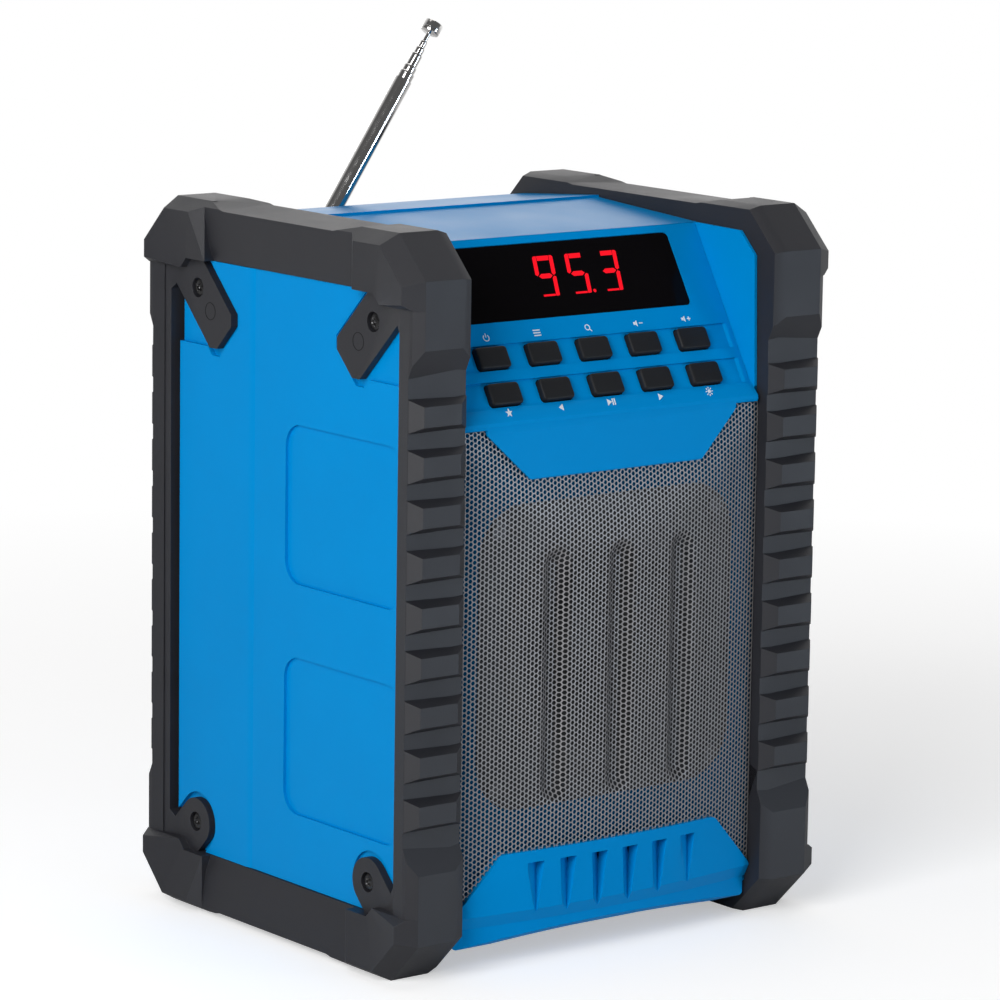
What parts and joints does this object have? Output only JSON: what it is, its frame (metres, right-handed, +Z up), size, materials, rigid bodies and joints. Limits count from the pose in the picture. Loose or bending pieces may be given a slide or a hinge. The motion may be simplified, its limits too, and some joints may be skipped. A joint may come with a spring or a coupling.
{
  "type": "jobsite radio",
  "caption": "Compact jobsite radio with a slanted control panel and a bowed speaker grille between two treaded bumper frames, with a telescopic antenna.",
  "frame": {"origin": "on the ground, in the middle between the two frames and in the middle of their depth", "axes": "+X to the viewer's right when facing the control panel, +Y towards the back, +Z up"},
  "size_m": [0.1844, 0.156, 0.3064],
  "materials": {
    "housing_plastic": "moulded blue plastic with a fine satin texture",
    "frame_rubber": "moulded dark grey rubber, matt",
    "grille_steel": "perforated sheet with grey paint",
    "screw_steel": "zinc-plated steel",
    "lens_plastic": "smoked glossy window",
    "display_plastic": "red segment display in a dark case",
    "board_laminate": "green circuit board",
    "switch_plastic": "small black plastic parts",
    "button_rubber": "soft black rubber caps",
    "speaker_metal": "pressed steel with black paint",
    "cone_paper": "dark pressed paper cone with a soft surround",
    "magnet_ferrite": "dark ferrite with steel plates",
    "cell_wrap": "steel cells in a green sleeve",
    "tray_plastic": "black moulded plastic",
    "antenna_chrome": "polished chrome"
  },
  "bodies": {
    "radio": {"front_housing": "housing_plastic", "rear_housing": "housing_plastic", "control_panel": "housing_plastic", "lower_trim": "housing_plastic", "speaker_grille": "grille_steel", "side_frame_left": "frame_rubber", "side_frame_right": "frame_rubber", "frame_screws_left": "screw_steel", "frame_screws_right": "screw_steel", "display_lens": "lens_plastic", "display_module": "display_plastic", "control_board": "board_laminate", "tact_switches": "switch_plastic", "speaker_basket": "speaker_metal", "speaker_cone": "cone_paper", "speaker_magnet": "magnet_ferrite", "speaker_screws": "screw_steel", "main_board": "board_laminate", "port_sockets": "switch_plastic", "board_screws": "screw_steel", "battery_cells": "cell_wrap", "battery_tray": "tray_plastic", "housing_screws": "screw_steel", "port_cover_pin": "screw_steel"},
    "power_button": {"button_power": "button_rubber"},
    "mode_button": {"button_mode": "button_rubber"},
    "scan_button": {"button_scan": "button_rubber"},
    "volume_down_button": {"button_volume_down": "button_rubber"},
    "volume_up_button": {"button_volume_up": "button_rubber"},
    "preset_button": {"button_preset": "button_rubber"},
    "previous_button": {"button_previous": "button_rubber"},
    "play_button": {"button_play": "button_rubber"},
    "next_button": {"button_next": "button_rubber"},
    "dimmer_button": {"button_dimmer": "button_rubber"},
    "port_flap": {"port_cover": "frame_rubber"},
    "antenna_swivel": {"antenna_elbow": "antenna_chrome", "antenna_nut": "screw_steel", "antenna_pin": "screw_steel"},
    "antenna_mast": {"antenna_tube": "antenna_chrome"},
    "antenna_stage_2": {"antenna_section_2": "antenna_chrome"},
    "antenna_stage_3": {"antenna_section_3": "antenna_chrome"},
    "antenna_stage_4": {"antenna_section_4": "antenna_chrome"},
    "antenna_stage_5": {"antenna_section_5": "antenna_chrome"},
    "antenna_stage_6": {"antenna_section_6": "antenna_chrome"},
    "antenna_end": {"antenna_tip": "antenna_chrome"}
  },
  "joints": [
    {"name": "power_press", "type": "slide", "parent": "radio", "child": "power_button", "axis": [0, 0.8572, -0.515], "range_m": [0, 0.0008], "stiffness_N_per_m": 600},
    {"name": "mode_press", "type": "slide", "parent": "radio", "child": "mode_button", "axis": [0, 0.8572, -0.515], "range_m": [0, 0.0008], "stiffness_N_per_m": 600},
    {"name": "scan_press", "type": "slide", "parent": "radio", "child": "scan_button", "axis": [0, 0.8572, -0.515], "range_m": [0, 0.0008], "stiffness_N_per_m": 600},
    {"name": "volume_down_press", "type": "slide", "parent": "radio", "child": "volume_down_button", "axis": [0, 0.8572, -0.515], "range_m": [0, 0.0008], "stiffness_N_per_m": 600},
    {"name": "volume_up_press", "type": "slide", "parent": "radio", "child": "volume_up_button", "axis": [0, 0.8572, -0.515], "range_m": [0, 0.0008], "stiffness_N_per_m": 600},
    {"name": "preset_press", "type": "slide", "parent": "radio", "child": "preset_button", "axis": [0, 0.8572, -0.515], "range_m": [0, 0.0008], "stiffness_N_per_m": 600},
    {"name": "previous_press", "type": "slide", "parent": "radio", "child": "previous_button", "axis": [0, 0.8572, -0.515], "range_m": [0, 0.0008], "stiffness_N_per_m": 600},
    {"name": "play_press", "type": "slide", "parent": "radio", "child": "play_button", "axis": [0, 0.8572, -0.515], "range_m": [0, 0.0008], "stiffness_N_per_m": 600},
    {"name": "next_press", "type": "slide", "parent": "radio", "child": "next_button", "axis": [0, 0.8572, -0.515], "range_m": [0, 0.0008], "stiffness_N_per_m": 600},
    {"name": "dimmer_press", "type": "slide", "parent": "radio", "child": "dimmer_button", "axis": [0, 0.8572, -0.515], "range_m": [0, 0.0008], "stiffness_N_per_m": 600},
    {"name": "port_flap_hinge", "type": "hinge", "parent": "radio", "child": "port_flap", "pos_m": [0, 0.0681, 0.0684], "axis": [1, 0, 0], "range_deg": [0, 105]},
    {"name": "antenna_turn", "type": "hinge", "parent": "radio", "child": "antenna_swivel", "pos_m": [-0.044, 0.0738, 0.1926], "axis": [0, 1, 0], "range_deg": [-48, 20]},
    {"name": "antenna_tilt", "type": "hinge", "parent": "antenna_swivel", "child": "antenna_mast", "pos_m": [-0.044, 0.0738, 0.1926], "axis": [-0.8251, 0, 0.565], "range_deg": [0, 90]},
    {"name": "antenna_slide_1", "type": "slide", "parent": "antenna_mast", "child": "antenna_stage_2", "axis": [0.565, 0, 0.8251], "range_m": [0, 0.075]},
    {"name": "antenna_slide_2", "type": "slide", "parent": "antenna_stage_2", "child": "antenna_stage_3", "axis": [0.565, 0, 0.8251], "range_m": [0, 0.075]},
    {"name": "antenna_slide_3", "type": "slide", "parent": "antenna_stage_3", "child": "antenna_stage_4", "axis": [0.565, 0, 0.8251], "range_m": [0, 0.075]},
    {"name": "antenna_slide_4", "type": "slide", "parent": "antenna_stage_4", "child": "antenna_stage_5", "axis": [0.565, 0, 0.8251], "range_m": [0, 0.075]},
    {"name": "antenna_slide_5", "type": "slide", "parent": "antenna_stage_5", "child": "antenna_stage_6", "axis": [0.565, 0, 0.8251], "range_m": [0, 0.075]},
    {"name": "antenna_slide_6", "type": "slide", "parent": "antenna_stage_6", "child": "antenna_end", "axis": [0.565, 0, 0.8251], "range_m": [0, 0.075]}
  ]
}
